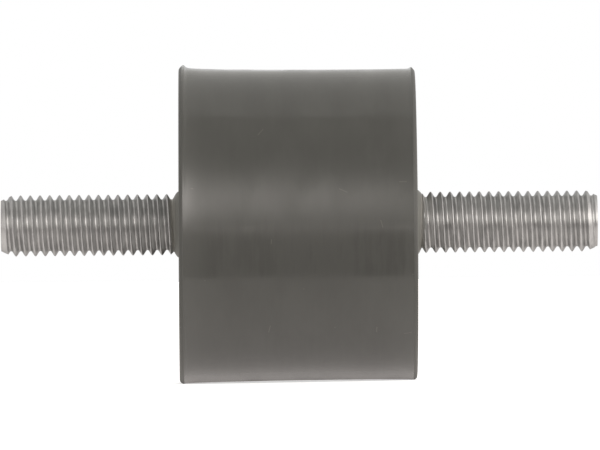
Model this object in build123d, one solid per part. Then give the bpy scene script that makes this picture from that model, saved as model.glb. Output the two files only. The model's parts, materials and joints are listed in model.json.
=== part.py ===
from build123d import *
import os

# A cylindrical vibration mount: a rubber body bonded to two steel discs, each with a stud.
# The axis of the mount is X, with the origin at its middle. All sizes are in millimetres.

# Rubber body
body_length = 30.4            # from one clamped face to the other
body_diameter = 40.1          # beside the lips, the mean of the two ends
mould_draft = 0.5             # how much wider the left end is than the right end
waist_sag = 0.2               # how deep the side bows in between the two lips

# Raised lip round each face
lip_width = 1.0
lip_corner_radius = 0.6
left_lip_height = 0.2
right_lip_height = 0.12

# Rubber over the steel
skin_thickness = 0.4          # over the outer face of each disc
rim_cover = 1.5               # round the rim of each disc
collar_length = 0.75          # small cone that seals the root of each stud
collar_base_diameter = 8.5
collar_tip_wall = 0.1

# Steel disc in each end
plate_thickness = 2.0
plate_edge_chamfer = 0.4

# Stud, M8 coarse thread
stud_length = 23.0            # from the clamped face to the tip
thread_diameter = 8.0
thread_pitch = 1.25
thread_depth_ratio = 0.6134   # depth of an ISO external thread for each unit of pitch
tip_diameter = 6.5            # of the flat at the end
tip_chamfer_length = 1.65     # about 25 degrees
head_diameter = 14.0
head_thickness = 3.0
head_edge_chamfer = 0.8
neck_diameter = 8.6           # pressed into the hole of the disc

# The left end has the right end's disc and stud, turned by this much
half_turn_angle = 180

# Sizes that follow from the ones above
left_face_x = -body_length / 2
right_face_x = body_length / 2
left_side_radius = (body_diameter + mould_draft / 2) / 2
right_side_radius = (body_diameter - mould_draft / 2) / 2
plate_diameter = body_diameter - 2 * rim_cover
plate_outer_x = right_face_x - skin_thickness
plate_inner_x = plate_outer_x - plate_thickness
collar_tip_x = right_face_x + collar_length
thread_depth = thread_depth_ratio * thread_pitch
root_diameter = thread_diameter - 2 * thread_depth


def turned(outline):
    """Solid of revolution round X from a closed half outline."""
    return revolve(make_face(outline), Axis.X)


def end_plate():
    """Right-hand steel disc, with a plain hole that takes the neck of the stud."""
    disc = Cylinder(plate_diameter / 2, plate_thickness)
    disc = chamfer(disc.edges(), plate_edge_chamfer)
    disc -= Cylinder(neck_diameter / 2, plate_thickness)
    middle_x = (plate_inner_x + plate_outer_x) / 2
    return Plane.YZ.offset(middle_x) * disc


def stud():
    """Right-hand headed stud: head, pressed neck, groove under the collar, threaded shank."""
    head_x = plate_inner_x - head_thickness
    tip_x = right_face_x + stud_length
    head_radius = head_diameter / 2
    shank_radius = thread_diameter / 2
    root_radius = root_diameter / 2
    outline = Polyline(
        (head_x, 0),
        (head_x, head_radius - head_edge_chamfer),
        (head_x + head_edge_chamfer, head_radius),
        (plate_inner_x, head_radius),
        (plate_inner_x, neck_diameter / 2),
        (plate_outer_x, neck_diameter / 2),
        (plate_outer_x, root_radius),
        (collar_tip_x, root_radius),
        (collar_tip_x + thread_depth, shank_radius),
        (tip_x - tip_chamfer_length, shank_radius),
        (tip_x, tip_diameter / 2),
        (tip_x, 0),
        close=True,
    )
    return turned(outline)


def rubber_blank():
    """Outer form of the rubber, still solid where the steel goes."""
    left_lip_radius = left_side_radius + left_lip_height
    right_lip_radius = right_side_radius + right_lip_height
    tip_radius = root_diameter / 2 + collar_tip_wall
    left_corner = TangentArc(
        (left_face_x, left_lip_radius - lip_corner_radius),
        (left_face_x + lip_corner_radius, left_lip_radius),
        tangent=(0, 1),
    )
    side_start = (left_face_x + lip_width, left_side_radius)
    side_end = (right_face_x - lip_width, right_side_radius)
    waist = (0, (left_side_radius + right_side_radius) / 2 - waist_sag)
    left_step = Line(left_corner @ 1, side_start)
    side = ThreePointArc(side_start, waist, side_end)
    right_corner = TangentArc(
        (right_face_x - lip_corner_radius, right_lip_radius),
        (right_face_x, right_lip_radius - lip_corner_radius),
        tangent=(1, 0),
    )
    right_step = Line(side_end, right_corner @ 0)
    ends = Polyline(
        right_corner @ 1,
        (right_face_x, collar_base_diameter / 2),
        (collar_tip_x, tip_radius),
        (collar_tip_x, 0),
        (-collar_tip_x, 0),
        (-collar_tip_x, tip_radius),
        (left_face_x, collar_base_diameter / 2),
        left_corner @ 0,
    )
    return turned([left_corner, left_step, side, right_step, right_corner, ends])


turn_round = Rot(Z=half_turn_angle)
right_end_plate = end_plate()
left_end_plate = turn_round * right_end_plate
right_stud = stud()
left_stud = turn_round * right_stud

# The rubber is moulded round the steel, so it fills all the room that the steel leaves.
rubber_body = rubber_blank() - [left_end_plate, right_end_plate, left_stud, right_stud]

nodes = {
    "rubber_body": rubber_body,
    "left_end_plate": left_end_plate,
    "right_end_plate": right_end_plate,
    "left_stud": left_stud,
    "right_stud": right_stud,
}
os.makedirs("parts", exist_ok=True)
for name, shape in nodes.items():
    export_step(shape, f"parts/{name}.step")
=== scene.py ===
# %% [markdown]
# # A cylindrical rubber vibration mount
# The real mount is a block of rubber moulded round two steel discs, with a threaded steel stud
# pressed into each disc. It lies on its side here, with its axis along X.
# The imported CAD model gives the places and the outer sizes. This script adds what the CAD model
# leaves out: the rolled thread, the slightly uneven rubber, and the finish of each surface.

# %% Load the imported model
import json
import math

import bpy
from mathutils import Matrix, Vector


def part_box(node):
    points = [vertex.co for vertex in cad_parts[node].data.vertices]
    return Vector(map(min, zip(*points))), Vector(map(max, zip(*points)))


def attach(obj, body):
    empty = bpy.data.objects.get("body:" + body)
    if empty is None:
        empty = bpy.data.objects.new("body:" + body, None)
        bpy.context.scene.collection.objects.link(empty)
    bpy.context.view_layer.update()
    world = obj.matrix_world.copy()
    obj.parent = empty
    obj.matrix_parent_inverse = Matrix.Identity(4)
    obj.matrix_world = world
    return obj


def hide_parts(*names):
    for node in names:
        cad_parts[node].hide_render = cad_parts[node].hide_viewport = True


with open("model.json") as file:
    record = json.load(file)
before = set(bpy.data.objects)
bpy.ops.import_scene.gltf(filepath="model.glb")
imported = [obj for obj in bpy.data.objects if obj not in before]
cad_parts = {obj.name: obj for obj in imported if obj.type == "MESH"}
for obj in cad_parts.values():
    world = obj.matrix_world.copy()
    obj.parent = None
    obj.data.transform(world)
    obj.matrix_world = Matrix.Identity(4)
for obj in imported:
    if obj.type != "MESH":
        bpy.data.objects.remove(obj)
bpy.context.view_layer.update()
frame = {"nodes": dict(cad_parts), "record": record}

# %% [markdown]
# ## Places and sizes
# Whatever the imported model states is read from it: the clamped faces and the threads are mounts
# in its record, and the discs and stud heads are boxes. Only the small forms that have no box of
# their own, such as the lips and the chamfers, are named here again, in millimetres.

# %% Read the places and sizes
MM = 0.001
mounts = {mount["name"]: mount for mount in frame["record"]["mounts"]}
right_face_x = mounts["right_clamping_face"]["pos_m"][0]
left_face_x = mounts["left_clamping_face"]["pos_m"][0]
thread_mount = mounts["right_stud_thread"]
thread_radius = thread_mount["dims"]["r_mm"] * MM

stud_low, stud_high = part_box("right_stud")
plate_low, plate_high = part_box("right_end_plate")
collar_tip_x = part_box("rubber_body")[1].x
tip_x = stud_high.x
print("faces at", left_face_x, right_face_x, "and stud tips at", tip_x)

# %% [markdown]
# ## Camera
# A long lens far away keeps the cylinder's outline almost straight, where a short lens close by
# would make it bulge. The camera stands nearer to the plane of the left face, so that face is
# seen edge-on, and the right end bulges a little. The mount rests on two rims of unequal size, so
# its real axis is not quite level. Here the axis stays along X, and the camera rolls by half a
# degree instead.

# %% Make the camera
camera_distance = 1.65
camera_inset = 6.4 * MM          # toward the middle, from the plane of the left face
view_width = 77.04 * MM
aim = Vector((0.32 * MM, 0, -0.20 * MM))
camera_roll = math.radians(-0.52)

camera_data = bpy.data.cameras.new("camera")
camera_data.lens = camera_data.sensor_width * camera_distance / view_width
camera = bpy.data.objects.new("camera", camera_data)
bpy.context.scene.collection.objects.link(camera)
camera.location = (left_face_x + camera_inset, -camera_distance, aim.z)
look = (aim - camera.location).to_track_quat("-Z", "Y")
camera.rotation_euler = (look.to_matrix() @ Matrix.Rotation(camera_roll, 3, "Z")).to_euler()
bpy.context.scene.camera = camera
bpy.context.scene.view_settings.view_transform = "Standard"
print("lens, in millimetres:", round(camera_data.lens))

# %% [markdown]
# ## Helpers for node trees
# Geometry nodes and shaders are both built by adding nodes and linking sockets. A few small
# helpers keep that readable: one sets or links a socket, one adds a node, and the others do the
# arithmetic that both kinds of tree need.

# %% Helpers that add nodes
def plug(tree, value, socket):
    """Links an output socket, or sets a plain value."""
    if isinstance(value, bpy.types.NodeSocket):
        tree.links.new(value, socket)
    else:
        socket.default_value = value


def add(tree, kind, inputs=None, **settings):
    """Adds a node, gives it its settings, and fills the inputs named or numbered."""
    made = tree.nodes.new(kind)
    for name, value in settings.items():
        setattr(made, name, value)
    for key, value in (inputs or {}).items():
        plug(tree, value, made.inputs[key])
    return made


# %% Helpers for arithmetic
def calc(tree, operation, *values):
    """One step of arithmetic on sockets or numbers."""
    return add(tree, "ShaderNodeMath", dict(enumerate(values)), operation=operation).outputs[0]


def product(tree, first, *others):
    """Multiplies sockets and numbers together, from left to right."""
    for other in others:
        first = calc(tree, "MULTIPLY", first, other)
    return first


def mix(tree, amount, first, second, data_type="FLOAT"):
    """Goes from the first to the second as the amount goes from 0 to 1."""
    inputs = {"Factor": amount, "A": first, "B": second}
    return add(tree, "ShaderNodeMix", inputs, data_type=data_type).outputs["Result"]


# %% Helpers for soft edges and patterns
def smooth_step(tree, value, low, high, start=0.0, end=1.0):
    """Goes smoothly from start to end as the value goes from low to high."""
    inputs = {"Value": value, "From Min": low, "From Max": high, "To Min": start, "To Max": end}
    made = add(tree, "ShaderNodeMapRange", inputs, interpolation_type="SMOOTHSTEP")
    return made.outputs["Result"]


def bell(tree, squared):
    """A soft bump, 1 in the middle, from the square of the distance counted in widths."""
    return calc(tree, "EXPONENT", product(tree, squared, -0.5))


def noise(tree, place, scale, detail, roughness):
    """A soft random pattern of the place alone, so it comes out the same in each run."""
    inputs = {"Vector": place, "Scale": scale, "Detail": detail, "Roughness": roughness}
    return add(tree, "ShaderNodeTexNoise", inputs).outputs[0]


# %% [markdown]
# ## Studio
# The mount lies on a white table in a white tent, with one soft box above the camera and a
# softly lit panel at each side. Lamp objects would do, but they show hard edges in gloss, so the
# lamps are part of the world. The world is the tent: bright above and behind, dimmer on the
# camera's side. Each lamp is a patch of light round its own direction that fades at its edge.
# The camera itself sees plain white, and so do the mirror rays that go to the backdrop behind.

# %% Lamps of the studio
# Each lamp has a turn towards +X and a height above the table, in degrees, then the half width
# and half height of its glow, in degrees too, and its strength.
lamps = {
    "soft_box": (14, 19.3, 6.5, 11, 4.7),
    "soft_box_spill": (10, 19.5, 35, 12, 0.7),
    "left_panel": (-85, 2, 28, 24, 1.0),
    "right_panel": (75, 2, 30, 23, 2.6),
}
lamp_tint = (1.0, 0.94, 0.90)    # the lamps are a little warmer than the tent
tent_tint = (1.0, 0.985, 0.945)


def lamp_glow(tree, facing, height, lamp):
    """How much light one lamp sends from a direction of the world."""
    turn_at, height_at, half_width, half_height, strength = lamp
    off_turn = calc(tree, "DIVIDE", calc(tree, "SUBTRACT", facing, turn_at), half_width)
    off_height = calc(tree, "DIVIDE", calc(tree, "SUBTRACT", height, height_at), half_height)
    height_squared = product(tree, off_height, off_height)
    off_squared = calc(tree, "MULTIPLY_ADD", off_turn, off_turn, height_squared)
    return product(tree, bell(tree, off_squared), strength)


print("lamps:", ", ".join(lamps))

# %% Light of the tent
tent_back = 0.80
tent_front = 0.44
tent_edge = (87.4, 89.4)         # degrees up from the camera's side
tent_side_loss = 0.8             # the tent is dimmer straight to the left and right

world = bpy.data.worlds.new("studio_tent")
world.use_nodes = True
bpy.context.scene.world = world
tree = world.node_tree
tree.nodes.clear()
heading = add(tree, "ShaderNodeTexCoord").outputs["Generated"]
toward = add(tree, "ShaderNodeSeparateXYZ", {0: heading}).outputs
toward_front = product(tree, toward["Y"], -1.0)
rise = calc(tree, "DEGREES", calc(tree, "ARCTAN2", toward["Z"], toward_front))
side_squared = product(tree, toward["X"], toward["X"])
tent_share = calc(tree, "MULTIPLY_ADD", side_squared, -tent_side_loss, 1.0)
light = product(tree, smooth_step(tree, rise, *tent_edge, tent_front, tent_back), tent_share)
print("tent light goes from", tent_front, "in front to", tent_back, "behind")

# %% Light of the lamps, added to the tent's
facing = calc(tree, "DEGREES", calc(tree, "ARCTAN2", toward["X"], toward_front))
height = calc(tree, "DEGREES", calc(tree, "ARCSINE", toward["Z"]))
glow = 0.0
for lamp in lamps.values():
    glow = calc(tree, "ADD", glow, lamp_glow(tree, facing, height, lamp))
channels = {
    channel: calc(tree, "MULTIPLY_ADD", glow, of_lamps, product(tree, light, of_tent))
    for channel, (of_lamps, of_tent) in enumerate(zip(lamp_tint, tent_tint))}
tint = add(tree, "ShaderNodeCombineColor", channels).outputs[0]
tent_light = add(tree, "ShaderNodeBackground", {"Color": tint, "Strength": 1.0})
print(len(lamps), "lamps and the tent are mixed in", len(channels), "colour channels")

# %% White for the camera and on the backdrop
backdrop_edge = (156.0, 170.0)   # past this the white backdrop hangs, in degrees as above
backdrop_side_loss = 0.3         # and it is less white toward its sides

plain_white = add(tree, "ShaderNodeBackground", {"Color": (1, 1, 1, 1), "Strength": 1.0})
rays = add(tree, "ShaderNodeLightPath").outputs
mirror_ray = calc(tree, "MAXIMUM", rays["Is Glossy Ray"], rays["Is Transmission Ray"])
backdrop = product(
    tree, mirror_ray, smooth_step(tree, rise, *backdrop_edge),
    calc(tree, "MULTIPLY_ADD", side_squared, -backdrop_side_loss, 1.0))
seen = calc(tree, "MAXIMUM", rays["Is Camera Ray"], backdrop)
mixed = add(
    tree, "ShaderNodeMixShader", {0: seen, 1: tent_light.outputs[0], 2: plain_white.outputs[0]})
add(tree, "ShaderNodeOutputWorld", {"Surface": mixed.outputs[0]})
print("world has", len(tree.nodes), "nodes")

# %% [markdown]
# ## Turned shapes
# Every piece of this mount is a turned shape: one half outline, swept once round the axis. A
# thread is the same sweep with a lead, so that each turn moves along by one pitch. The Screw
# modifier could turn them, but it can't let a thread run out or a lip be uneven. One Geometry
# Nodes tree can, so it makes them all. It lays a grid, reads the outline point for each row, and
# rolls the grid round the axis. Rows marked "lead" also slide along, and are held between two
# ends, where the thread runs out.

# %% Name the inputs of the sweep tree
number_inputs = (
    "Lead", "Start", "End", "Start Radius", "End Radius", "End Slope", "Unevenness",
    "Flash Rise", "Seed", "Drop", "Lean", "Weld Distance", "Sharp Angle")
input_kinds = {"Geometry": "NodeSocketGeometry", "Segments": "NodeSocketInt"}
input_kinds.update({name: "NodeSocketFloat" for name in number_inputs})
input_kinds["Material"] = "NodeSocketMaterial"

sweep_tree = bpy.data.node_groups.new("turned_sweep", "GeometryNodeTree")
sweep_tree.is_modifier = True
tree = sweep_tree
for name, kind in input_kinds.items():
    tree.interface.new_socket(name=name, in_out="INPUT", socket_type=kind)
tree.interface.new_socket(name="Geometry", in_out="OUTPUT", socket_type="NodeSocketGeometry")
given = add(tree, "NodeGroupInput").outputs
print("sweep tree has", len(input_kinds), "inputs")

# %% Lay the grid: a row for each outline point, a column for each step round the axis
size = add(tree, "GeometryNodeAttributeDomainSize", {0: given["Geometry"]}, component="MESH")
rows = size.outputs["Point Count"]
columns = calc(tree, "ADD", given["Segments"], 1)
grid = add(tree, "GeometryNodeMeshGrid", {"Vertices X": columns, "Vertices Y": rows})
index = add(tree, "GeometryNodeInputIndex").outputs[0]
row = calc(tree, "MODULO", index, rows)
column = calc(tree, "FLOOR", calc(tree, "DIVIDE", calc(tree, "ADD", index, 0.5), rows))
share = calc(tree, "DIVIDE", column, given["Segments"])
angle = product(tree, share, math.tau)
across, up = calc(tree, "COSINE", angle), calc(tree, "SINE", angle)
print("the grid takes", len(tree.nodes), "nodes")

# %% Read the outline point of each row, and its marks
mark_names = ("lead", "flash", "depth", "drop", "lean")


def from_outline(value, data_type):
    """The outline's value for each row of the grid."""
    inputs = {"Geometry": given["Geometry"], "Value": value, "Index": row}
    return add(tree, "GeometryNodeSampleIndex", inputs, data_type=data_type).outputs[0]


place = from_outline(add(tree, "GeometryNodeInputPosition").outputs[0], "FLOAT_VECTOR")
point = add(tree, "ShaderNodeSeparateXYZ", {0: place}).outputs
mark = {}
for name in mark_names:
    read = add(tree, "GeometryNodeInputNamedAttribute", {"Name": name}, data_type="FLOAT")
    mark[name] = from_outline(read.outputs[0], "FLOAT")
print("marks:", ", ".join(mark))

# %% Slide the rows of a thread, and cut them at the run-out and the tip
slid = calc(tree, "ADD", point["X"], product(tree, mark["lead"], given["Lead"], share))
held = calc(tree, "MINIMUM", calc(tree, "MAXIMUM", slid, given["Start"]), given["End"])
x = mix(tree, mark["lead"], point["X"], held)
run_out = calc(tree, "ADD", calc(tree, "SUBTRACT", held, given["Start"]), given["Start Radius"])
to_end = calc(tree, "SUBTRACT", given["End"], held)
chamfer = calc(tree, "MULTIPLY_ADD", to_end, given["End Slope"], given["End Radius"])
cut = calc(tree, "MINIMUM", point["Y"], calc(tree, "MINIMUM", run_out, chamfer))
radius = mix(tree, mark["lead"], point["Y"], cut)
print("with the thread it takes", len(tree.nodes), "nodes")

# %% Raise the uneven lips: they wander all round, and a burr stands on their upper side
seeded = add(tree, "ShaderNodeCombineXYZ", {"X": given["Seed"], "Y": across, "Z": up})
pattern = noise(tree, seeded.outputs[0], 2.5, detail=4.0, roughness=0.7)
wander = product(tree, calc(tree, "SUBTRACT", pattern, 0.5), given["Unevenness"])
upper_side = calc(tree, "MULTIPLY_ADD", up, 0.5, 0.5)
burr_rise = product(tree, product(tree, up, up), upper_side, given["Flash Rise"])
proud = product(tree, calc(tree, "ADD", wander, burr_rise), mark["flash"])
radius = calc(tree, "ADD", radius, proud)
print("with the uneven lips it takes", len(tree.nodes), "nodes")

# %% Roll the grid round the axis
y, z = product(tree, radius, across), product(tree, radius, up)
z = calc(tree, "SUBTRACT", z, product(tree, given["Drop"], mark["drop"]))
x = calc(tree, "ADD", x, product(tree, given["Lean"], mark["lean"], up))
position = add(tree, "ShaderNodeCombineXYZ", {"X": x, "Y": y, "Z": z}).outputs[0]
rolled = add(
    tree, "GeometryNodeSetPosition", {"Geometry": grid.outputs["Mesh"], "Position": position})
print("rolled round the axis it takes", len(tree.nodes), "nodes")

# %% Weld the seam and the poles, crease the sharp edges, and give the material
stored = add(
    tree, "GeometryNodeStoreNamedAttribute",
    {"Geometry": rolled.outputs[0], "Name": "depth", "Value": mark["depth"]}, data_type="FLOAT")
welded = add(
    tree, "GeometryNodeMergeByDistance",
    {"Geometry": stored.outputs[0], "Distance": given["Weld Distance"]})
smooth = add(
    tree, "GeometryNodeSetShadeSmooth", {"Geometry": welded.outputs[0], "Shade Smooth": True})
fold = add(tree, "GeometryNodeInputMeshEdgeAngle").outputs["Unsigned Angle"]
sharp = calc(tree, "GREATER_THAN", fold, given["Sharp Angle"])
creased = add(
    tree, "GeometryNodeSetShadeSmooth",
    {"Geometry": smooth.outputs[0], "Selection": sharp, "Shade Smooth": False}, domain="EDGE")
real = add(tree, "GeometryNodeRealizeInstances", {0: creased.outputs[0]})
painted = add(
    tree, "GeometryNodeSetMaterial", {"Geometry": real.outputs[0], "Material": given["Material"]})
add(tree, "NodeGroupOutput", {0: painted.outputs[0]})
print("sweep tree has", len(sweep_tree.nodes), "nodes")

# %% [markdown]
# The outline goes in as a mesh of bare points. Each point carries its place and five marks:
# "lead" for the rows of a thread, "flash" for the rubber's uneven lips, "depth" for how deep the
# point lies in a thread, which the steel's finish reads, and "drop" and "lean" for where the
# moulded body is not quite true to its studs. The result is turned into a plain mesh, and the
# modifier goes.

# %% Helper that sweeps one outline
weld_distance = 0.002 * MM
sharp_angle = math.radians(38)


def swept(name, outline, material, sizes):
    """outline is a list of (x, radius, marks), from the axis back to the axis."""
    points = bpy.data.meshes.new(name + "_outline")
    points.from_pydata([(x, radius, 0) for x, radius, _ in outline], [], [])
    for mark_name in mark_names:
        layer = points.attributes.new(mark_name, "FLOAT", "POINT")
        layer.data.foreach_set("value", [marks.get(mark_name, 0) for _, _, marks in outline])
    holder = bpy.data.objects.new(name + "_holder", points)
    bpy.context.scene.collection.objects.link(holder)
    modifier = holder.modifiers.new("sweep", "NODES")
    modifier.node_group = sweep_tree
    values = {"Weld Distance": weld_distance, "Sharp Angle": sharp_angle, "Material": material}
    values.update(sizes)
    for item in sweep_tree.interface.items_tree:
        if item.in_out == "INPUT" and item.name in values:
            modifier[item.identifier] = values[item.name]
    bpy.context.view_layer.update()
    evaluated = holder.evaluated_get(bpy.context.evaluated_depsgraph_get())
    solid = bpy.data.meshes.new_from_object(evaluated)
    solid.name = name
    bpy.data.objects.remove(holder)
    bpy.data.meshes.remove(points)
    return solid


# %% Helpers that check a finished mesh and place it
def faces_out(mesh):
    """Turns the faces outwards: a closed mesh with outward faces has a volume above zero."""
    mesh.calc_loop_triangles()
    volume = 0.0
    for triangle in mesh.loop_triangles:
        a, b, c = (mesh.vertices[i].co for i in triangle.vertices)
        volume += a.dot(b.cross(c)) / 6
    if volume < 0:
        mesh.flip_normals()
    cubic_cm = round(abs(volume) * 1e6, 3)
    print(mesh.name, "has", len(mesh.loop_triangles), "triangles and holds", cubic_cm, "cm3")


def place_piece(mesh, node):
    """Puts a finished mesh in the scene in place of its CAD node."""
    piece = bpy.data.objects.new(mesh.name, mesh)
    bpy.context.scene.collection.objects.link(piece)
    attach(piece, "root")
    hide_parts(node)


# %% [markdown]
# ## Shared finish: fine marks
# Both the rubber and the steel carry fine marks that run round the piece, from the mould, from
# wiping and from handling. They could be painted on, but a pattern worked out from the place has
# no seam and suits any size. One node group makes them for both materials, from Object
# coordinates stretched round the axis: long streaks, soft patches and gentle waves. It also makes
# a few short scratches, drawn on the surface as if it were unrolled flat.

# %% Helpers for places on a piece
def object_spot(tree):
    """X, Y and Z of the shaded point, in the piece's own coordinates."""
    place = add(tree, "ShaderNodeTexCoord").outputs["Object"]
    return add(tree, "ShaderNodeSeparateXYZ", {0: place}).outputs


def distance_off_axis(tree, spot):
    """How far the shaded point is from the mount's axis."""
    z_squared = product(tree, spot["Z"], spot["Z"])
    return calc(tree, "SQRT", calc(tree, "MULTIPLY_ADD", spot["Y"], spot["Y"], z_squared))


# %% Scratches on the unrolled surface
plain_cells = 0.6                # the share of the cells that hold no scratch


def scratch_mask(tree, given):
    """The unrolled surface is cut in cells, and some cells hold one short line."""
    spot = object_spot(tree)
    scale = given["Scratch Scale"]
    turn = calc(tree, "ARCTAN2", spot["Z"], product(tree, spot["Y"], -1.0))
    round_axis = product(tree, turn, distance_off_axis(tree, spot), scale)
    flat = {0: product(tree, spot["X"], scale), 1: round_axis}
    unrolled = add(tree, "ShaderNodeCombineXYZ", flat).outputs[0]
    cells = add(
        tree, "ShaderNodeTexVoronoi", {"Vector": unrolled, "Scale": 1.0}, voronoi_dimensions="2D")
    offset = add(
        tree, "ShaderNodeVectorMath", {0: unrolled, 1: cells.outputs["Position"]},
        operation="SUBTRACT")
    side = add(tree, "ShaderNodeSeparateXYZ", {0: offset.outputs[0]}).outputs
    dice = add(tree, "ShaderNodeSeparateColor", {0: cells.outputs["Color"]}).outputs
    turned_by = product(tree, dice[0], math.pi)
    cosine, sine = calc(tree, "COSINE", turned_by), calc(tree, "SINE", turned_by)
    along = calc(tree, "ADD", product(tree, side[0], cosine), product(tree, side[1], sine))
    off_line = calc(
        tree, "SUBTRACT", product(tree, side[1], cosine), product(tree, side[0], sine))
    reach = product(tree, dice[2], product(tree, given["Scratch Length"], scale))
    width = product(tree, given["Scratch Width"], scale)
    return product(
        tree, calc(tree, "LESS_THAN", calc(tree, "ABSOLUTE", along), reach),
        calc(tree, "LESS_THAN", calc(tree, "ABSOLUTE", off_line), width),
        calc(tree, "GREATER_THAN", dice[1], plain_cells))


# %% Build the marks group
streak_stretch = (1.0, 0.08, 0.08)
patch_stretch = (1.0, 0.4, 0.4)

marks_group = bpy.data.node_groups.new("fine_marks", "ShaderNodeTree")
tree = marks_group
for name in ("Streak Scale", "Patch Scale", "Scratch Scale", "Scratch Length", "Scratch Width"):
    tree.interface.new_socket(name=name, in_out="INPUT", socket_type="NodeSocketFloat")
for name in ("Streaks", "Patches", "Waves", "Scratches"):
    tree.interface.new_socket(name=name, in_out="OUTPUT", socket_type="NodeSocketFloat")
given = add(tree, "NodeGroupInput").outputs
place = add(tree, "ShaderNodeTexCoord").outputs["Object"]
ringed, drawn = (
    add(tree, "ShaderNodeMapping", {"Vector": place, "Scale": stretch}).outputs[0]
    for stretch in (streak_stretch, patch_stretch))
add(tree, "NodeGroupOutput", {
    0: noise(tree, ringed, given["Streak Scale"], detail=5.0, roughness=0.65),
    1: noise(tree, drawn, given["Patch Scale"], detail=4.0, roughness=0.6),
    2: noise(tree, drawn, given["Patch Scale"], detail=1.0, roughness=0.4),
    3: scratch_mask(tree, given)})
print("marks group has", len(tree.nodes), "nodes")


# %% Helpers that use the marks
def marks_in(tree, **values):
    """Places the marks in a material with its own scales, such as streak_scale=1400."""
    marks = add(tree, "ShaderNodeGroup", node_tree=marks_group)
    for name, value in values.items():
        marks.inputs[name.replace("_", " ").title()].default_value = value
    return marks.outputs


def streaky(tree, marks, streak_share):
    """Patches with a share of streaks in them."""
    patches = product(tree, marks["Patches"], 1 - streak_share)
    return calc(tree, "MULTIPLY_ADD", marks["Streaks"], streak_share, patches)


# %% [markdown]
# ## Materials
# A single flat colour would look like plastic. Each material is therefore a chain of colours,
# each laid over the one before where a mask says so, with a Principled shader at its end. The
# same few steps start and end them all.

# %% Helpers for materials
def new_material(name):
    """An empty material, ready for its nodes."""
    material = bpy.data.materials.new(name)
    material.use_nodes = True
    material.node_tree.nodes.clear()
    return material


def lay_over(tree, amount, under, over):
    """Lays one colour over another: an amount of 0 leaves the one underneath."""
    return mix(tree, amount, under, over, data_type="RGBA")


def bumped(tree, distance, height):
    """The direction of a surface that a height makes a little uneven."""
    inputs = {"Strength": 1.0, "Distance": distance, "Height": height}
    return add(tree, "ShaderNodeBump", inputs).outputs[0]


def finish_material(tree, inputs):
    """The shader itself, with what was made for its sockets."""
    surface = add(tree, "ShaderNodeBsdfPrincipled", inputs)
    add(tree, "ShaderNodeOutputMaterial", {"Surface": surface.outputs[0]})


# %% [markdown]
# ## Rubber
# The rubber is filled with carbon black but looks a warm dark grey, because a thin bloom lies on
# it. It is smooth and rather glossy, so the edges of the tent and the table show in it as
# straight bands. Bloom and gloss are both patchy: the darker patches are duller and spread the
# soft box out, and in the paler ones it stays a narrower band. The rims are handled most, and are
# a little paler. Talc from the mould stays on the flat faces. The collars are paler still, and
# the thin nose of each collar palest: partly talc, and partly painted light for the shaded corner
# round each stud. Two ragged bands on the side are painted darker: painted shade that roughens
# the edges of the soft box's reflection. The lips are trimmed by hand, so they and the faces are
# matt, and the lips' rounded corners are painted a touch darker as painted shade.

# %% Bare rubber and its paler rims
clean_rubber = (0.070, 0.070, 0.064, 1)
bloomed_rubber = (0.084, 0.0845, 0.077, 1)
rim_rubber = (0.100, 0.1005, 0.093, 1)
bloom_range = (0.25, 0.75)       # of the marks, from no bloom to full bloom
rim_reach = (right_face_x - 4 * MM, right_face_x)
rim_share = 0.5

rubber = new_material("warm_grey_rubber")
tree = rubber.node_tree
marks = marks_in(
    tree, streak_scale=1500.0, patch_scale=200.0, scratch_scale=150.0,
    scratch_length=0.6 * MM, scratch_width=0.06 * MM)
spot = object_spot(tree)
from_middle = calc(tree, "ABSOLUTE", spot["X"])
bloom = smooth_step(tree, streaky(tree, marks, 0.15), *bloom_range)
colour = lay_over(tree, bloom, clean_rubber, bloomed_rubber)
rim = smooth_step(tree, from_middle, *rim_reach, 0.0, rim_share)
colour = lay_over(tree, rim, colour, rim_rubber)
print("rubber goes from", clean_rubber[:3], "to", bloomed_rubber[:3])

# %% Talc on the faces, and painted light on the collars
talc_and_painted_light = (0.20, 0.20, 0.183, 1)
collar_light_reach = (4.6 * MM, 7 * MM)  # off the axis: the collar is covered, and it fades on the face
flat_face = (right_face_x - 0.10 * MM, right_face_x - 0.02 * MM)
dust_range = (0.35, 0.65)        # of the patches, from least to most talc on the flat face
dust_share = (0.25, 0.6)
painted_light_nose = (0.48, 0.465, 0.43, 1)
nose_reach = (3.45 * MM, 3.95 * MM)
nose_share = 0.8

off_axis = distance_off_axis(tree, spot)
# painted light: the collars, palest at the nose, are paler where the corner round each stud is
# shaded; the patches on the flat faces are talc
collar = smooth_step(tree, off_axis, *collar_light_reach, 1.0, 0.0)
on_face = smooth_step(tree, from_middle, *flat_face)
dusty = smooth_step(tree, marks["Patches"], *dust_range, *dust_share)
talc_and_light = calc(tree, "MAXIMUM", collar, product(tree, on_face, dusty))
colour = lay_over(tree, talc_and_light, colour, talc_and_painted_light)
nose = smooth_step(tree, off_axis, *nose_reach, nose_share, 0.0)
colour = lay_over(tree, nose, colour, painted_light_nose)
print("talc fades out between", collar_light_reach[0], "and", collar_light_reach[1], "metres off the axis")

# %% Edges of the painted shade bands, and the lips' zone
# A ragged height is the height plus the patches' share of the raggedness. The patches are near
# 0.5, so a ragged height of 7 mm is about halfway up the body.
raggedness = 14 * MM
low_band_foot = (-8 * MM, -6 * MM)
low_band_ragged_top = (5.5 * MM, 9 * MM)
high_band_ragged_foot = (11 * MM, 13 * MM)
high_band_top = (9 * MM, 13 * MM)
matt_shaded_lip = (right_face_x - 0.60 * MM, right_face_x - 0.45 * MM)

matt_shaded = smooth_step(tree, from_middle, *matt_shaded_lip)
ragged = calc(tree, "MULTIPLY_ADD", marks["Patches"], raggedness, spot["Z"])
low_edge = smooth_step(tree, ragged, *low_band_ragged_top, 1.0, 0.0)
high_edge = smooth_step(tree, ragged, *high_band_ragged_foot)
print("lips are trimmed past", matt_shaded_lip[1], "metres from the middle")
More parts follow.
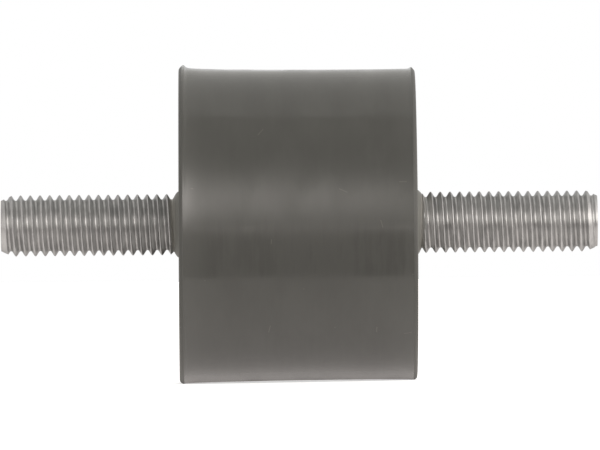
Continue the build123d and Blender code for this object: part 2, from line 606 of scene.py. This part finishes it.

# %% Painted shade in two ragged bands on the side
# painted shade: darker ragged bands along the edges of the soft box's reflection
painted_shade = (0.040, 0.040, 0.036, 1)
painted_shade_share = 0.36
low_gaps = (0.42, 0.58)          # of the streaky patches: below this the low band is left out
high_gaps = (0.44, 0.60)
high_band_share = 0.6
left_end_zone = (left_face_x + 1 * MM, left_face_x + 5 * MM)
left_end_share = 0.2             # the low band is fainter at the left end

low = product(
    tree, low_edge, smooth_step(tree, spot["Z"], *low_band_foot),
    smooth_step(tree, streaky(tree, marks, 0.3), *low_gaps),
    smooth_step(tree, spot["X"], *left_end_zone, left_end_share, 1.0))
high = product(
    tree, high_edge, smooth_step(tree, spot["Z"], *high_band_top, 1.0, 0.0),
    smooth_step(tree, marks["Patches"], *high_gaps))
shade_bands = product(
    tree, calc(tree, "MULTIPLY_ADD", high, high_band_share, low),
    calc(tree, "SUBTRACT", 1.0, matt_shaded))
colour = lay_over(tree, product(tree, shade_bands, painted_shade_share), colour, painted_shade)
print("the darkest smudge covers", painted_shade_share, "of the colour under it")

# %% Scratches, matt lips with painted shade, and gloss
scratch_pale = (0.2, 0.19, 0.17, 1)
scratch_share = 0.24
lip_shade_share = 0.08                 # painted shade: the lips' rounded corners are a touch darker
lip_roughness = 0.5
gloss_range = (0.38, 0.62)       # of the patches, from the dullest rubber to the glossiest
dull, glossy = 0.21, 0.10
wave_height = 0.07 * MM

colour = lay_over(tree, product(tree, marks["Scratches"], scratch_share), colour, scratch_pale)
# painted shade: the rounded corners of the lips are darker
colour = lay_over(tree, product(tree, matt_shaded, lip_shade_share), colour, painted_shade)
polish = smooth_step(tree, marks["Patches"], *gloss_range, dull, glossy)
roughness = calc(tree, "MAXIMUM", polish, product(tree, matt_shaded, lip_roughness))
finish_material(tree, {
    "Base Color": colour, "Roughness": roughness, "IOR": 1.5,
    "Normal": bumped(tree, wave_height, marks["Waves"])})
print("rubber has", len(tree.nodes), "nodes")

# %% [markdown]
# ## Steel
# The studs are rolled steel with a thin zinc plating: a pale metal, satin rather than bright. A
# plain mirror would show the tent too sharply, so patches and streaks vary its colour, its
# roughness and its grain. The "depth" mark makes the colour darker toward the bottom of the
# thread. Close to each collar the bottom of the thread also holds a film of rubber and talc,
# which is dull and not metal, and its pale colour is partly painted light for that shaded groove.

# %% Plating, and darker toward the thread's root
dark_zinc = (0.485, 0.487, 0.485, 1)
pale_zinc = (0.63, 0.63, 0.626, 1)
root_colour = (0.26, 0.25, 0.235, 1)
zinc_range = (0.3, 0.7)          # of the patches, from dark and smooth to pale and rough
darker_depth = (0.5, 1.0)         # of the thread's depth
darker_share = 0.2

steel = new_material("zinc_plated_steel")
tree = steel.node_tree
marks = marks_in(tree, streak_scale=2600.0, patch_scale=1300.0)
depth = add(tree, "ShaderNodeAttribute", attribute_name="depth").outputs["Fac"]
zinc = smooth_step(tree, marks["Patches"], *zinc_range)
colour = lay_over(tree, zinc, dark_zinc, pale_zinc)
toward_root = product(tree, smooth_step(tree, depth, *darker_depth), darker_share)
colour = lay_over(tree, toward_root, colour, root_colour)
print("plating goes from", dark_zinc[:3], "to", pale_zinc[:3])

# %% Film and painted light beside the collars, and the finished steel
film_and_painted_light = (0.46, 0.45, 0.42, 1)
film_light_raggedness = 0.6 * MM
film_light_reach = (collar_tip_x + 0.5 * MM, collar_tip_x + 1.0 * MM)
film_light_depth = (0.2, 0.6)          # of the thread's depth
zinc_metallic = 0.85
smoothest, roughest = 0.29, 0.40
grain_height = 0.003 * MM

from_middle = calc(tree, "ABSOLUTE", object_spot(tree)["X"])
ragged = calc(tree, "MULTIPLY_ADD", marks["Patches"], film_light_raggedness, from_middle)
# painted light: the pale non-metal film brightens the shaded groove beside each collar
film_and_light = product(
    tree, smooth_step(tree, ragged, *film_light_reach, 1.0, 0.0), smooth_step(tree, depth, *film_light_depth))
grain = calc(tree, "ADD", marks["Streaks"], marks["Patches"])
finish_material(tree, {
    "Base Color": lay_over(tree, film_and_light, colour, film_and_painted_light),
    "Metallic": calc(tree, "MULTIPLY_ADD", film_and_light, -zinc_metallic, zinc_metallic),
    "Roughness": smooth_step(tree, marks["Patches"], *zinc_range, smoothest, roughest),
    "Specular Tint": (0.5, 0.5, 0.5, 1),
    "Normal": bumped(tree, grain_height, grain)})
print("steel has", len(tree.nodes), "nodes")

# %% [markdown]
# ## Rubber body
# The body could be a plain cylinder with bevelled edges, but its side bows, its rims differ, and
# it closes round the steel inside. So it is swept from one half outline, point by point. The
# outline starts on the axis at the left stud's head, follows the steel that the rubber is bonded
# to, comes out at the left collar, runs over the outside, and goes back in at the right.

# %% Name the rubber's small forms
body_radius = 20.05 * MM
mould_draft = 0.25 * MM          # the left rim is this much larger in radius than the right one
waist_sag = 0.10 * MM
lip_corner = 0.5 * MM
left_lip_flare = 0.15 * MM
right_lip_flare = 0.06 * MM
flare_length = 1.3 * MM
collar_base_radius = 4.25 * MM
collar_tip_wall = 0.1 * MM
plate_chamfer = 0.4 * MM
head_chamfer = 0.8 * MM
thread_pitch = 1.25 * MM
thread_depth = 0.6134 * thread_pitch
root_radius = thread_radius - thread_depth
print("root of the thread, in metres:", root_radius)


# %% Helpers for outlines
def between(start, end, steps):
    """Points from start towards end, without the end itself."""
    return [start + (end - start) * i / steps for i in range(steps)]


def quarter_circle(centre_x, centre_radius, size, start, end, steps=10):
    """Points on a rounded corner, with angles in degrees from +X towards +radius."""
    turns = [math.radians(start + (end - start) * i / steps) for i in range(steps + 1)]
    return [(centre_x + size * math.cos(t), centre_radius + size * math.sin(t)) for t in turns]


# %% Outline of the right end, from the steel inside to the lip
def inner_outline():
    """The right-hand steel as the rubber meets it, from the axis out to the tip of the collar."""
    head_radius, plate_radius = stud_high.z, plate_high.z
    return [
        (stud_low.x, 0),
        (stud_low.x, head_radius - head_chamfer),
        (stud_low.x + head_chamfer, head_radius),
        (plate_low.x, head_radius),
        (plate_low.x, plate_radius - plate_chamfer),
        (plate_low.x + plate_chamfer, plate_radius),
        (plate_high.x - plate_chamfer, plate_radius),
        (plate_high.x, plate_radius - plate_chamfer),
        (plate_high.x, root_radius),
        (collar_tip_x, root_radius),
    ]


def collar_outline(steps=8):
    """The rounded nose of rubber round the stud, from its tip down to the face."""
    tip_edge = root_radius + collar_tip_wall
    points = []
    for turn in between(0, math.pi / 2, steps):
        along = turn / (math.pi / 2)
        x = collar_tip_x + (right_face_x - collar_tip_x) * along
        points.append((x, tip_edge + (collar_base_radius - tip_edge) * math.sin(turn)))
    return points


def end_face(lip_radius, steps=12):
    """The flat ring of the right end, from the collar out to the lip's corner."""
    radii = between(collar_base_radius, lip_radius - lip_corner, steps)
    return [(right_face_x, radius) for radius in radii]


# %% Outline of the side and its lips
side_half = right_face_x - lip_corner
rim_zone = 3 * MM                # this near to a rim, the points lie closer together
rim_points, middle_points = 20, 60


def side_radius(x):
    """The side bows in between the rims, is wider at the left, and flares gently at each rim."""
    share = x / side_half
    bow = body_radius - mould_draft / 2 * share - waist_sag * (1 - share * share)
    left_flare = left_lip_flare * math.exp(-(x - left_face_x - lip_corner) / flare_length)
    right_flare = right_lip_flare * math.exp(-(right_face_x - lip_corner - x) / flare_length)
    return bow + left_flare + right_flare


near_rim = [side_half - rim_zone * (1 - i / rim_points) ** 2 for i in range(rim_points)]
middle = between(-near_rim[0], near_rim[0], middle_points)
side_places = [-x for x in [side_half] + near_rim[::-1]][:-1] + middle + near_rim + [side_half]
side = [(x, side_radius(x)) for x in side_places]
left_lip_radius, right_lip_radius = side[0][1], side[-1][1]
left_arc = quarter_circle(
    left_face_x + lip_corner, left_lip_radius - lip_corner, lip_corner, 180, 90)
right_arc = quarter_circle(
    right_face_x - lip_corner, right_lip_radius - lip_corner, lip_corner, 90, 0)
print("lip radii, in metres:", left_lip_radius, right_lip_radius)

# %% [markdown]
# A moulded body is never quite true. The mould leaves a thin burr on each lip, weaker at the
# right. The outside sits a little low on the studs, and it leans, most of all at the left face.
# Rubber has crept a little further along the right stud, most of all at its top. Bending the
# finished mesh would do, but marks on the outline's points are simpler: the sweep turns them into
# small shifts.

# %% Marks for where the body is not quite true
left_burr_inset, left_burr_width = 0.62 * MM, 0.30 * MM
right_burr_inset, right_burr_width = 0.50 * MM, 0.24 * MM
right_burr_share = 0.6
drop_reach = 10 * MM             # the drop and the lean grow over this much radius
left_lift = 0.5                  # at the left face this share of the drop is taken off
left_lift_reach = 2 * MM
body_lean = 0.10 * MM
right_creep = 0.12 * MM
right_creep_lean = 0.18 * MM


def burr(x):
    """How much burr an outline point carries: it falls away within half a millimetre."""
    left = math.exp(-((x - left_face_x - left_burr_inset) / left_burr_width) ** 2)
    right = math.exp(-((right_face_x - right_burr_inset - x) / right_burr_width) ** 2)
    return left + right_burr_share * right


def outer_marks(x, radius):
    """The outside sits a little low on the studs and leans."""
    outside = min(max((radius - collar_base_radius) / drop_reach, 0), 1)
    lifted = left_lift * math.exp((left_face_x - x) / left_lift_reach)
    leaning = (right_face_x - x) / (right_face_x - left_face_x)
    return {"drop": outside * (1 - lifted), "lean": outside * leaning}


def creep(x, radius):
    """Rubber creeps a little further along the right stud, most of all at its top."""
    out = max((x - right_face_x) / (collar_tip_x - right_face_x), 0)
    return (x + out * right_creep, radius, {"lean": out * right_creep_lean / body_lean})


# %% Make the rubber body
steel_side = inner_outline() + collar_outline()
left_ring = [(-x, radius) for x, radius in end_face(left_lip_radius)]
right_ring = end_face(right_lip_radius)[::-1]
rubber_points = [(-x, radius, {}) for x, radius in steel_side]
rubber_points += [(x, radius, outer_marks(x, radius)) for x, radius in left_ring]
rubber_points += [
    (x, radius, {**outer_marks(x, radius), "flash": burr(x)})
    for x, radius in left_arc[:-1] + side + right_arc[1:]]
rubber_points += [(x, radius, outer_marks(x, radius)) for x, radius in right_ring]
rubber_points += [creep(x, radius) for x, radius in steel_side[::-1]]

rubber_mesh = swept("moulded_rubber", rubber_points, rubber, {
    "Segments": 360, "Unevenness": 0.10 * MM, "Flash Rise": 0.30 * MM, "Seed": 3.0,
    "Drop": 0.20 * MM, "Lean": body_lean})
faces_out(rubber_mesh)
place_piece(rubber_mesh, "rubber_body")

# %% [markdown]
# ## Studs
# A rolled thread has flanks 60 degrees apart, a narrow rounded crest and a rounder root. Rings
# side by side would be simpler, but then the crests wouldn't slant. One pitch of the outline is
# sampled in steps and repeated along the shank instead, and the sweep slides it by one pitch for
# each turn, which makes the right-hand helix. The rows are held at the run-out under the collar
# and at the tip, where a chamfer cuts the crests away. Both studs have the same shape, except
# that they aren't pressed in by quite the same amount.

# %% Outline of the thread
crest_radius = thread_radius - 0.06 * MM     # a rolled thread is a little under its nominal size
full_depth = crest_radius - root_radius
crest_flat = thread_pitch / 8
flank_slope = math.tan(math.radians(60))
crest_rounding = 0.12 * MM
root_rounding = 0.12 * MM
steps_per_pitch = 24


def soft_max(a, b, rounding):
    """The larger of two values, with the corner between them rounded."""
    return (a + b + math.hypot(a - b, rounding)) / 2


def thread_outline_depth(share):
    """How far the outline lies under the crest, at a share of the pitch from the crest."""
    along = min(share, 1 - share) * thread_pitch
    flank = soft_max((along - crest_flat / 2) * flank_slope, 0, crest_rounding)
    return full_depth - soft_max(full_depth - flank, 0, root_rounding)


print("depth of the thread, in metres:", thread_outline_depth(0.5))

# %% Outline of a stud
neck_radius = 4.3 * MM
thread_start = right_face_x + 0.45 * MM      # under the collar, so the thread comes out of it
tip_radius = 3.25 * MM
chamfer_x = thread_mount["pos_m"][0] + thread_mount["dims"]["length_mm"] * MM / 2
tip_slope = (thread_radius - tip_radius) / (tip_x - chamfer_x)
print("the tip is chamfered over", round((tip_x - chamfer_x) / MM, 2), "millimetres")


def stud_points(end_x):
    """The half outline of a stud that points right, from its head to its tip at end_x."""
    head_radius = stud_high.z
    plain_start = [
        (stud_low.x, 0),
        (stud_low.x, head_radius - head_chamfer),
        (stud_low.x + head_chamfer, head_radius),
        (plate_low.x, head_radius),
        (plate_low.x, neck_radius),
        (plate_high.x, neck_radius),
        (plate_high.x, root_radius),
        (thread_start, root_radius),
    ]
    points = [(x, radius, {}) for x, radius in plain_start]
    row_step = thread_pitch / steps_per_pitch
    row_count = math.ceil((end_x - thread_start + thread_pitch) / row_step) + 1
    for i in range(row_count):
        x = thread_start - thread_pitch + i * row_step
        depth = thread_outline_depth(i % steps_per_pitch / steps_per_pitch)
        points.append((x, crest_radius - depth, {"lead": 1, "depth": depth / full_depth}))
    points.append((end_x, 0, {}))
    return points


# %% Make the studs
left_tip_x = tip_x - 0.15 * MM
right_tip_x = tip_x + 0.28 * MM


def make_stud(name, node, turn, faces_left, end_x):
    """turn, in degrees, is where the thread starts round the axis."""
    mesh = swept(name, stud_points(end_x), steel, {
        "Segments": 128, "Lead": thread_pitch, "Start": thread_start, "End": end_x,
        "Start Radius": root_radius, "End Radius": tip_radius, "End Slope": tip_slope})
    mesh.transform(Matrix.Rotation(math.radians(turn), 4, "X"))
    if faces_left:
        mesh.transform(Matrix.Rotation(math.pi, 4, "Z"))
    faces_out(mesh)
    place_piece(mesh, node)


make_stud("right_threaded_stud", "right_stud", turn=28, faces_left=False, end_x=right_tip_x)
make_stud("left_threaded_stud", "left_stud", turn=125, faces_left=True, end_x=left_tip_x)

# %% [markdown]
# ## End discs
# The discs are sealed inside the rubber. Their CAD shape is right, so they only take the steel's
# finish.

# %% Finish the discs
for node in ("left_end_plate", "right_end_plate"):
    frame["nodes"][node].data.materials.clear()
    frame["nodes"][node].data.materials.append(steel)
    print(node, "has the finish", steel.name)

# %% [markdown]
# ## Table
# The table is a large white sheet, and the mount rests on both of its rims. The left rim is a
# little wider, so the sheet leans slightly under the mount, and is level past its ends. Its own
# colour would look a little grey, and brighter lamps would spoil the rubber, so the camera gets
# some added white instead, except close under the rubber and behind it, where the shadow stays.
# In the gloss of the rubber and steel, the table near the mount is well lit, the part beyond a
# straight edge in front is dimmer, and the soft box lights the far front of it again. Two small
# glows lie close to the mount, one in front of its middle and one just beyond its right end.

# %% Make the table
table_half = 3.0
lean_reach = right_face_x + 3 * MM
right_rim_zone = 1 * MM

rubber_dots = [dot.co for dot in rubber_mesh.vertices]
left_dots = [dot for dot in rubber_dots if dot.x < 0]
right_dots = [dot for dot in rubber_dots if dot.x > right_face_x - right_rim_zone]
left_foot, right_foot = (min(dots, key=lambda dot: dot.z) for dots in (left_dots, right_dots))
lean = (right_foot.z - left_foot.z) / (right_foot.x - left_foot.x)


def table_height(x):
    """The table touches both rims, and is level past its leaning part."""
    return left_foot.z + lean * (min(max(x, -lean_reach), lean_reach) - left_foot.x)


table_mesh = bpy.data.meshes.new("table")
table_columns = (-table_half, -lean_reach, lean_reach, table_half)
table_mesh.from_pydata(
    [(x, y, table_height(x)) for y in (-table_half, table_half) for x in table_columns],
    [], [(i, i + 1, i + 5, i + 4) for i in range(3)])
table = bpy.data.objects.new("table", table_mesh)
bpy.context.scene.collection.objects.link(table)
print("table height under the rims:", table_height(left_foot.x), table_height(right_foot.x))

# %% Added white, and the shadow that stays in it
camera_white = 0.70
shadow_front = 6 * MM
shadow_back = 45 * MM
shadow_left = 0.75               # the share of the added white that the shadow leaves
shadow_end = (right_face_x - 1 * MM, right_face_x + 1 * MM)

table_material = new_material("white_table")
table_mesh.materials.append(table_material)
tree = table_material.node_tree
spot = object_spot(tree)
sideways = calc(tree, "ABSOLUTE", spot["X"])
in_front = smooth_step(tree, spot["Y"], -shadow_front, 0.0, 1.0, shadow_left)
behind = smooth_step(tree, spot["Y"], 0.0, shadow_back, shadow_left, 1.0)
away = calc(tree, "MAXIMUM", in_front, behind)
clear = smooth_step(tree, sideways, *shadow_end)
white = product(tree, calc(tree, "MAXIMUM", away, clear), camera_white)
print("added white:", camera_white, "and", round(camera_white * shadow_left, 3), "in shadow")

# %% Light of the table as gloss shows it
lit_table = 0.92
dim_table = 0.42
lit_edge = (-36.1 * MM, -35.1 * MM)
end_zone = (right_face_x - 1 * MM, right_face_x + 5 * MM)
far_glow = 0.95                  # the soft box lights the far front of the table again
far_reach = (-450 * MM, -30 * MM)
far_slant = 5.0                  # more of it toward the left
far_shift = 40 * MM              # past the mount's ends it starts this much further out

past_end = smooth_step(tree, sideways, *end_zone)
near_light = smooth_step(tree, spot["Y"], *lit_edge, dim_table, lit_table)
under_body = product(tree, spot["X"], calc(tree, "SUBTRACT", 1.0, past_end))
slanted = calc(tree, "MULTIPLY_ADD", under_body, far_slant, spot["Y"])
slanted = calc(tree, "MULTIPLY_ADD", past_end, far_shift, slanted)
far_light = smooth_step(tree, slanted, *far_reach, far_glow, 0.0)
lit = calc(tree, "ADD", near_light, far_light)
print("in gloss the table is", lit_table, "near the mount and", dim_table, "further off")

# %% Glows close to the mount, and its contact shadow
middle_glow = 0.40               # brightest a little in front of the mount
middle_place = -14.5 * MM
middle_width = 8 * MM
middle_end = (right_face_x, right_face_x + 12 * MM)
right_glow = 0.4                 # the right-hand panel lights the table just beyond that end
right_glow_start = (right_face_x, right_face_x + 3 * MM)
right_glow_end = (right_face_x + 5 * MM, right_face_x + 15 * MM)
right_glow_front = (-20 * MM, -5 * MM)
contact_reach = 5.5 * MM
contact_left = 0.35

off_middle = calc(tree, "DIVIDE", calc(tree, "SUBTRACT", spot["Y"], middle_place), middle_width)
middle_bell = bell(tree, product(tree, off_middle, off_middle))
beside = smooth_step(tree, sideways, *middle_end, middle_glow, 0.0)
lit = calc(tree, "ADD", lit, product(tree, middle_bell, beside))
beyond = product(
    tree, smooth_step(tree, spot["X"], *right_glow_start, 0.0, right_glow),
    smooth_step(tree, spot["X"], *right_glow_end, 1.0, 0.0),
    smooth_step(tree, spot["Y"], *right_glow_front))
lit = calc(tree, "ADD", lit, beyond)
off_contact = calc(tree, "ABSOLUTE", spot["Y"])
contact = smooth_step(tree, off_contact, 0.0, contact_reach, contact_left, 1.0)
lit = product(tree, lit, calc(tree, "MAXIMUM", contact, past_end))
print("glows add", middle_glow, "in front and", right_glow, "at the right")

# %% Mix what the camera, the gloss and all other rays see of the table
table_white = (0.9, 0.9, 0.9, 1)
table_tint = (1.0, 0.935, 0.895, 1)

rays = add(tree, "ShaderNodeLightPath").outputs
sheet = add(tree, "ShaderNodeBsdfDiffuse", {"Color": table_white})
lift = add(tree, "ShaderNodeEmission", {"Color": (1, 1, 1, 1), "Strength": white})
seen_sheet = add(tree, "ShaderNodeAddShader", {0: sheet.outputs[0], 1: lift.outputs[0]})
for_camera = add(
    tree, "ShaderNodeMixShader",
    {0: rays["Is Camera Ray"], 1: sheet.outputs[0], 2: seen_sheet.outputs[0]})
mirrored = add(tree, "ShaderNodeEmission", {"Color": table_tint, "Strength": lit})
mirror_ray = calc(tree, "MAXIMUM", rays["Is Glossy Ray"], rays["Is Transmission Ray"])
for_gloss = add(
    tree, "ShaderNodeMixShader",
    {0: mirror_ray, 1: for_camera.outputs[0], 2: mirrored.outputs[0]})
add(tree, "ShaderNodeOutputMaterial", {"Surface": for_gloss.outputs[0]})
print("table has", len(tree.nodes), "nodes")
